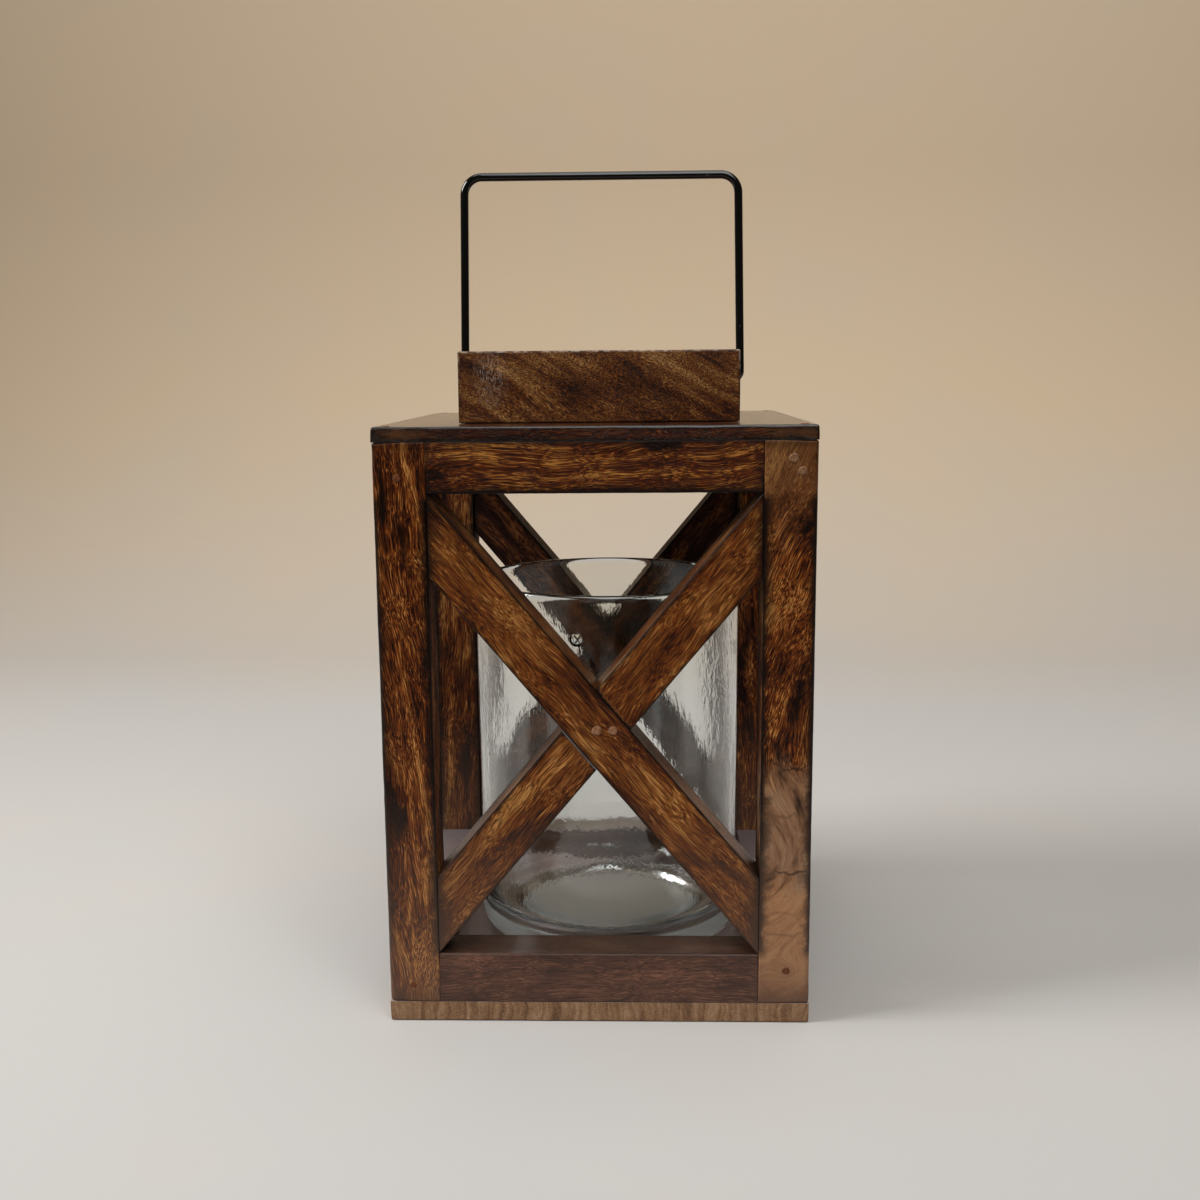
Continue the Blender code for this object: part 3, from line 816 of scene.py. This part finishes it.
for name, way, wood, slot, seed, choices in BOARDS:
    low, high = (Vector(end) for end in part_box(name))
    if name == "top_block":
        low.z -= SEAM_CLOSE
    board = worn_timber(name + "_worn", way, wood, seed, low, high, **choices)
    stands_for(board, "frame", slot, name)
    print(board.name, len(board.data.polygons), "faces")

# %% [markdown]
# ## Wire bail
#
# The bail is one length of wire bent at four corners. A tree draws the path, rounds its corners with Fillet
# Curve, which takes a small radius at the sockets and a larger one at the top, and sweeps a circle along it.

# %% Bail tree
TOP_BEND = 6.7 * MM
SOCKET_BEND = 2.8 * MM
SOCKET_DEPTH = 10.0 * MM
LEG_LEAN = 1.4 * MM
BAIL_INPUTS = {
    "Geometry": "NodeSocketGeometry",
    "Wire Radius": "NodeSocketFloat",
    "Low Bend": "NodeSocketFloat",
    "High Bend": "NodeSocketFloat",
    "High From": "NodeSocketFloat",
    "Material": "NodeSocketMaterial",
}


def bail_tree():
    """Geometry Nodes tree: a polyline comes in, a wire with rounded corners goes out."""
    add, given, tree = new_tree("bent wire", BAIL_INPUTS)
    path = add("GeometryNodeMeshToCurve", given["Geometry"])
    height = add(SPLIT, add("GeometryNodeInputPosition")).outputs["Z"]
    high = add(MATH, height, given["High From"], operation="GREATER_THAN")
    extra = add(MATH, given["High Bend"], given["Low Bend"], **MINUS)
    radius = add(MATH, given["Low Bend"], add(MATH, extra, high, **TIMES))
    bent = add("GeometryNodeFilletCurve", named={"Curve": path, "Count": 14, "Radius": radius}, mode="POLY")
    circle = add("GeometryNodeCurvePrimitiveCircle", named={"Resolution": 24, "Radius": given["Wire Radius"]})
    named = {"Curve": bent, "Profile Curve": circle, "Fill Caps": True}
    finish_tree(add, add("GeometryNodeCurveToMesh", named=named), given["Material"])
    return tree


# %% [markdown]
# The wire is dipped in gloss black enamel: a deep black line with sharp highlights and a chip or two. Noise
# makes the faint orange peel and picks where a chip shows.


# %% Black enamel
def black_enamel():
    """Gloss black enamel dipped on wire: deep black, sharp highlights, a faint orange-peel, small chips."""
    add, shader, material = new_material("gloss black enamel")
    place = add("ShaderNodeTexCoord").outputs["Object"]
    peel = add(NOISE, place, 900.0, 2.0)
    scuff = add(NOISE, place, 140.0, 5.0)
    rough = add(RANGE, scuff, 0.35, 0.75, 0.06, 0.2)
    chips = add(RANGE, scuff, 0.7, 0.73)
    colour = add(MIX, chips, linear("050707"), linear("6A645C"), data_type="RGBA")
    bump = add("ShaderNodeBump", named={"Height": peel, "Strength": 0.04, "Distance": 0.1 * MM})
    feed(shader, Base_Color=colour, Roughness=rough, Normal=bump)
    return material


# %% [markdown]
# The path runs from one socket of the block to the other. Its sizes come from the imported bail.

# %% Bail
def make_bail():
    """The wire bail, from its own box and the block's."""
    low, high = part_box("bail_handle")
    block_low, block_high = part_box("top_block")
    radius = (high.y - low.y) / 2
    centre = (low.x + high.x) / 2
    leg = (high.x - low.x) / 2 - radius
    foot = low.z + radius
    bar = high.z - radius
    inner = (block_high.x - block_low.x) / 2 - SOCKET_DEPTH
    right = [(inner, foot), (leg, foot), (leg - LEG_LEAN, bar)]
    path = [(-x, z) for x, z in right] + right[::-1]
    start = bpy.data.meshes.new("bail_path")
    start.from_pydata([(centre + x, 0.0, z) for x, z in path], [(i, i + 1) for i in range(len(path) - 1)], [])
    inputs = {
        "Wire Radius": radius,
        "Low Bend": SOCKET_BEND,
        "High Bend": TOP_BEND,
        "High From": (foot + bar) / 2,
        "Material": black_enamel(),
    }
    bail = run_tree("bail_wire", bail_tree(), inputs, start=start)
    stands_for(bail, "bail", "bail_wire", "bail_handle")
    print("bail:", round(2 * radius / MM, 2), "mm wire,", len(bail.data.polygons), "faces")


make_bail()

# %% [markdown]
# ## Candle glass
#
# The glass is blown or pressed by hand: its wall waves a little, its base is thick with rounded heels, and
# bubbles are trapped in the wall. A profile is turned with a Screw modifier into a fine mesh, and then each
# point is moved along its radius by a sum of soft waves. A bubble is a flattened hollow inside the wall, so
# its faces point into the hollow.

# %% Glass sizes
GLASS_WALL = 3.0 * MM
GLASS_BASE = 8.0 * MM
HEEL_RADIUS = 9.0 * MM
INNER_HEEL_RADIUS = 13.0 * MM
PUNT_HEIGHT = 1.2 * MM
RECESS_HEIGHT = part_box("candle_glass")[0].z + PUNT_HEIGHT
WAVE_ROOM = 0.3 * MM  # the outside is drawn in this far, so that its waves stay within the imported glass
FOOT_RING = 4.0 * MM
TURN_STEPS = 240
ROW_HEIGHT = 1.6 * MM
BUBBLES = (
    # angle in degrees from +X, height above the glass's foot, half width, half height, half depth, in mm
    (-101.5, 126.6, 2.5, 2.6, 1.2),
    (-14.0, 116.0, 1.0, 3.0, 0.7),
    (-66.0, 62.0, 0.45, 1.4, 0.4),
    (152.0, 80.0, 0.6, 0.9, 0.5),
)


def arc(centre, radius, start, stop, steps):
    """Points on an arc between two angles in degrees."""
    angles = [math.radians(start + (stop - start) * i / steps) for i in range(steps + 1)]
    return [(centre[0] + radius * math.cos(a), centre[1] + radius * math.sin(a)) for a in angles]


def glass_profile(radius, height):
    """Half section of the glass, from the middle of its inner floor over the rim to the middle underneath."""
    inner = radius - GLASS_WALL
    lip = GLASS_WALL / 2
    flat = inner - INNER_HEEL_RADIUS
    heel_top = GLASS_BASE + INNER_HEEL_RADIUS
    rise = height - lip - heel_top
    drop = height - lip - HEEL_RADIUS
    rows = int(rise / ROW_HEIGHT)
    outer_rows = int(drop / ROW_HEIGHT)
    ring = radius - HEEL_RADIUS - FOOT_RING
    points = [(flat * i / 12, GLASS_BASE) for i in range(12)]
    points += arc((flat, heel_top), INNER_HEEL_RADIUS, -90, 0, 12)
    points += [(inner, heel_top + rise * i / rows) for i in range(1, rows)]
    points += arc((radius - lip, height - lip), lip, 180, 0, 8)
    points += [(radius, height - lip - drop * i / outer_rows) for i in range(1, outer_rows)]
    points += arc((radius - HEEL_RADIUS, HEEL_RADIUS), HEEL_RADIUS, 0, -90, 10)
    points += [(ring, 0.0), (ring - FOOT_RING, PUNT_HEIGHT)]
    points += [((ring - FOOT_RING) * (1 - i / 10), PUNT_HEIGHT) for i in range(1, 11)]
    return points


def wall_waves(angle, height, phase):
    """How far the wall swells at an angle and height, in metres: slow waves, upright ripples, fine ones."""
    slow = np.sin(3 * angle + 18 * height + phase) + 0.7 * np.sin(5 * angle - 31 * height + 2 * phase)
    ripple = np.sin(17 * angle + 2.2 * np.sin(55 * height + phase) + phase)
    fine = np.sin(41 * angle + 3 * np.sin(120 * height) + 70 * height)
    return (0.13 * slow + 0.03 * ripple + 0.006 * fine) * MM


# %% [markdown]
# The eye reads clear glass by bent outlines and broken highlights, so a soft ripple in its skin matters more
# than colour. The recess under the foot is matt, as moulded glass is where it isn't polished.


# %% Clear glass
def clear_glass():
    """Soda-lime glass, made by hand: clear with a faint grey cast, its skin rippled like cool water.

    The recess under its foot was never polished, so it is matt and shows as a pale disc."""
    add, shader, material = new_material("hand-made soda-lime glass")
    place = add("ShaderNodeTexCoord").outputs["Object"]
    ripple = add(NOISE, add(VECTOR, place, (1.0, 1.0, 0.5), **TIMES), 380.0, 3.0, 0.6)
    bump = add("ShaderNodeBump", named={"Height": ripple, "Strength": 0.36, "Distance": 0.25 * MM})
    off = add(MATH, add(SPLIT, place).outputs["Z"], RECESS_HEIGHT, **MINUS)
    matt = add(RANGE, add(MATH, off, operation="ABSOLUTE"), 0.2 * MM, 0.4 * MM, 1.0, 0.0)
    rough = add(MATH, matt, 0.4, **TIMES)
    clear = add(RANGE, matt, 0.0, 1.0, 1.0, 0.45)
    feed(shader, Base_Color=linear("F8FAF9"), Roughness=rough, IOR=1.5, Normal=bump)
    feed(shader, Transmission_Weight=clear)
    return material


# %% [markdown]
# The profile is turned, waved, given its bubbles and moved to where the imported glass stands.

# %% Glass
def add_bubble(shape, radius, angle, height, half_width, half_height, half_depth):
    """Add a hollow to the wall: a flattened ball whose faces point inwards."""
    turn = Matrix.Rotation(math.radians(angle), 4, "Z")
    size = Matrix.Diagonal((half_depth * MM, half_width * MM, half_height * MM, 1.0))
    place = turn @ Matrix.Translation((radius - GLASS_WALL / 2, 0.0, height * MM)) @ size
    made = bmesh.ops.create_uvsphere(shape, u_segments=24, v_segments=16, radius=1.0, matrix=place)
    faces = {face for vert in made["verts"] for face in vert.link_faces}
    bmesh.ops.reverse_faces(shape, faces=list(faces))


def make_glass():
    """The candle glass, turned and then waved, with its bubbles."""
    low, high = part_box("candle_glass")
    radius = (high.x - low.x) / 2
    middle = (low + high) / 2
    profile = glass_profile(radius, high.z - low.z)
    mesh = bpy.data.meshes.new("glass_profile")
    mesh.from_pydata([(r, 0.0, z) for r, z in profile], [(i, i + 1) for i in range(len(profile) - 1)], [])
    carrier = new_piece("glass_profile", mesh)
    turn = carrier.modifiers.new("turn", "SCREW")
    turn.steps = turn.render_steps = TURN_STEPS
    turn.use_merge_vertices = True
    turn.merge_threshold = 0.00001
    turned = plain_copy(carrier)
    bpy.data.objects.remove(carrier)

    points = np.empty(len(turned.vertices) * 3)
    turned.vertices.foreach_get("co", points)
    points = points.reshape(-1, 3)
    distance = np.hypot(points[:, 0], points[:, 1])
    angle = np.arctan2(points[:, 1], points[:, 0])
    outside = distance > radius - GLASS_WALL / 2
    share = np.clip(distance / (radius - GLASS_WALL - INNER_HEEL_RADIUS), 0, 1) ** 4
    share *= np.clip(points[:, 2] / (HEEL_RADIUS * 1.5), 0, 1)
    outer = wall_waves(angle, points[:, 2], 0.4) - WAVE_ROOM
    swell = np.where(outside, outer, wall_waves(angle, points[:, 2], 2.1)) * share
    factor = (distance + swell) / np.maximum(distance, 1e-6)
    points[:, :2] *= factor[:, None]
    turned.vertices.foreach_set("co", points.ravel())

    shape = bmesh.new()
    shape.from_mesh(turned)
    bmesh.ops.recalc_face_normals(shape, faces=shape.faces)
    for bubble in BUBBLES:
        add_bubble(shape, radius, *bubble)
    shape.transform(Matrix.Translation((middle.x, middle.y, low.z)))
    shape.to_mesh(turned)
    shape.free()
    turned.shade_smooth()
    turned.materials.append(clear_glass())
    glass = new_piece("hand_made_glass", turned)
    stands_for(glass, "glass", "clear_glass", "candle_glass")
    print("glass:", round(2 * radius / MM, 1), "mm across,", len(turned.polygons), "faces")


make_glass()

# %% [markdown]
# ## Filled nail heads
#
# Each nail is driven just under the surface and the dimple is filled. What shows is a small, slightly sunk
# spot of filler. One disc is set at every nail by Instance on Points, turned to face out and given its own
# size by a seeded random value.

# %% Filler spots
SPOT_RADIUS = 1.5 * MM
SMALL_SPOT_RADIUS = 1.15 * MM
SPOT_THICKNESS = 0.5 * MM
HEAD_DEPTH = 0.3 * MM  # how far the nails are sunk
MIDDLE_HEIGHT = 110 * MM  # upright nails above this face up, and those below it face down
SPOT_INPUTS = {
    "Geometry": "NodeSocketGeometry",
    "Radius": "NodeSocketFloat",
    "Thickness": "NodeSocketFloat",
    "Seed": "NodeSocketInt",
    "Material": "NodeSocketMaterial",
}


def spot_tree():
    """Geometry Nodes tree: points with a facing direction come in, thin round filler spots go out."""
    add, given, tree = new_tree("filler spots", SPOT_INPUTS)
    named = {"Vertices": 20, "Fill Segments": 3, "Radius": given["Radius"], "Depth": given["Thickness"]}
    disc = add("GeometryNodeMeshCylinder", named=named)
    wobble = add(NOISE, add("GeometryNodeInputPosition"), 700.0, 2.0).outputs["Color"]
    wobble = add(VECTOR, wobble, (0.5, 0.5, 0.5), **MINUS)
    wobble = add(VECTOR, wobble, (1.2 * MM, 1.2 * MM, 0.0), **TIMES)
    disc = add("GeometryNodeSetPosition", named={"Geometry": disc, "Offset": wobble})
    facing = add("GeometryNodeInputNamedAttribute", "facing", data_type="FLOAT_VECTOR")
    turn = add("FunctionNodeAlignRotationToVector", named={"Vector": facing}, axis="Z")
    size = add("FunctionNodeRandomValue", 0.8, 1.15, data_type="FLOAT", named={"Seed": given["Seed"]})
    named = {"Points": given["Geometry"], "Instance": disc, "Rotation": turn, "Scale": size}
    finish_tree(add, add("GeometryNodeInstanceOnPoints", named=named), given["Material"])
    return tree


def filler(name, hex_colour):
    """Wood filler: chalky paste wiped flat and toned with a little stain."""
    add, shader, material = new_material(name)
    grit = add(NOISE, add("ShaderNodeTexCoord").outputs["Object"], 1500.0, 3.0)
    shade = add(RANGE, grit, 0.4, 0.65, 0.0, 0.6)
    colour = add(MIX, shade, linear(hex_colour), linear("3A1A0E"), data_type="RGBA")
    feed(shader, Base_Color=colour, Roughness=0.5, Specular_IOR_Level=0.2)
    return material


def nail_heads(nodes):
    """The point on the surface above each nail's head, and the way it faces."""
    middle = (cad_low + cad_high) / 2
    middle.z = MIDDLE_HEIGHT
    points, facings = [], []
    for name in nodes:
        low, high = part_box(name)
        axis = max(range(3), key=lambda i: high[i] - low[i])
        point = (low + high) / 2
        facing = Vector((0, 0, 0))
        facing[axis] = 1 if point[axis] > middle[axis] else -1
        point[axis] = (high if facing[axis] > 0 else low)[axis]
        point += facing * (HEAD_DEPTH - SPOT_THICKNESS / 2)
        points.append(point)
        facings.append(facing)
    return points, facings


SPOTS = spot_tree()
# A second filled spot close to one over a nail. No packed nail lies under it.
EXTRA_SPOT = (Vector((69.5, -74.75, 197.0)) * MM, Vector((0, -1, 0)))


def make_spots(name, nodes, radius, material, extra=()):
    """One piece with a filler spot over each of these nails, and over the extra places."""
    points, facings = nail_heads(nodes)
    points += [point for point, _ in extra]
    facings += [facing for _, facing in extra]
    start = bpy.data.meshes.new(name + "_points")
    start.from_pydata(points, [], [])
    attribute = start.attributes.new("facing", "FLOAT_VECTOR", "POINT")
    attribute.data.foreach_set("vector", [c for facing in facings for c in facing])
    inputs = {"Radius": radius, "Thickness": SPOT_THICKNESS, "Seed": 3, "Material": material}
    spots = run_tree(name, SPOTS, inputs, start=start)
    stands_for(spots, "frame", "nail_steel", *nodes)
    print(name, "covers", len(nodes), "nails:", [[round(c / MM, 1) for c in p] for p in points[:3]])


NAILS = sorted(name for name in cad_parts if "nail" in name)
PALE = [name for name in NAILS if "front_crossing" in name]
SANDED = ["nail_right_high_left"]
make_spots("pale_filler_spots", PALE, SPOT_RADIUS, filler("pale wood filler", "94684C"))
make_spots("sanded_filler_spots", SANDED, SPOT_RADIUS, filler("sanded wood filler", "8A6648"), [EXTRA_SPOT])
rest = [name for name in NAILS if name not in PALE + SANDED]
make_spots("dark_filler_spots", rest, SMALL_SPOT_RADIUS, filler("stained wood filler", "6A3C20"))

# %% [markdown]
# Four zinc-plated wood screws hold the block from below. They are plain bought parts and hardly show, so they
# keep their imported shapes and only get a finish: bright, slightly cloudy metal.


# %% Screws under the top board
def zinc():
    """Bright zinc plating on a wood screw, dulled a little and uneven."""
    add, shader, material = new_material("zinc-plated steel")
    cloud = add(NOISE, add("ShaderNodeTexCoord").outputs["Object"], 400.0, 4.0)
    colour = add(MIX, cloud, linear("9C9A96"), linear("C9C8C4"), data_type="RGBA")
    feed(shader, Base_Color=colour, Roughness=add(RANGE, cloud, 0.0, 1.0, 0.25, 0.5), Metallic=1.0)
    return material


ZINC = zinc()
for name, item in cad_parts.items():
    if name.startswith("block_screw"):
        item.data.materials.clear()
        item.data.materials.append(ZINC)

# %% [markdown]
# The box of the finished lantern is written beside the imported one, so that the two can be compared.

# %% Sizes of the finished lantern
low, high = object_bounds()
print("visual box in mm:", [round(c / MM, 1) for c in (*low, *high)])
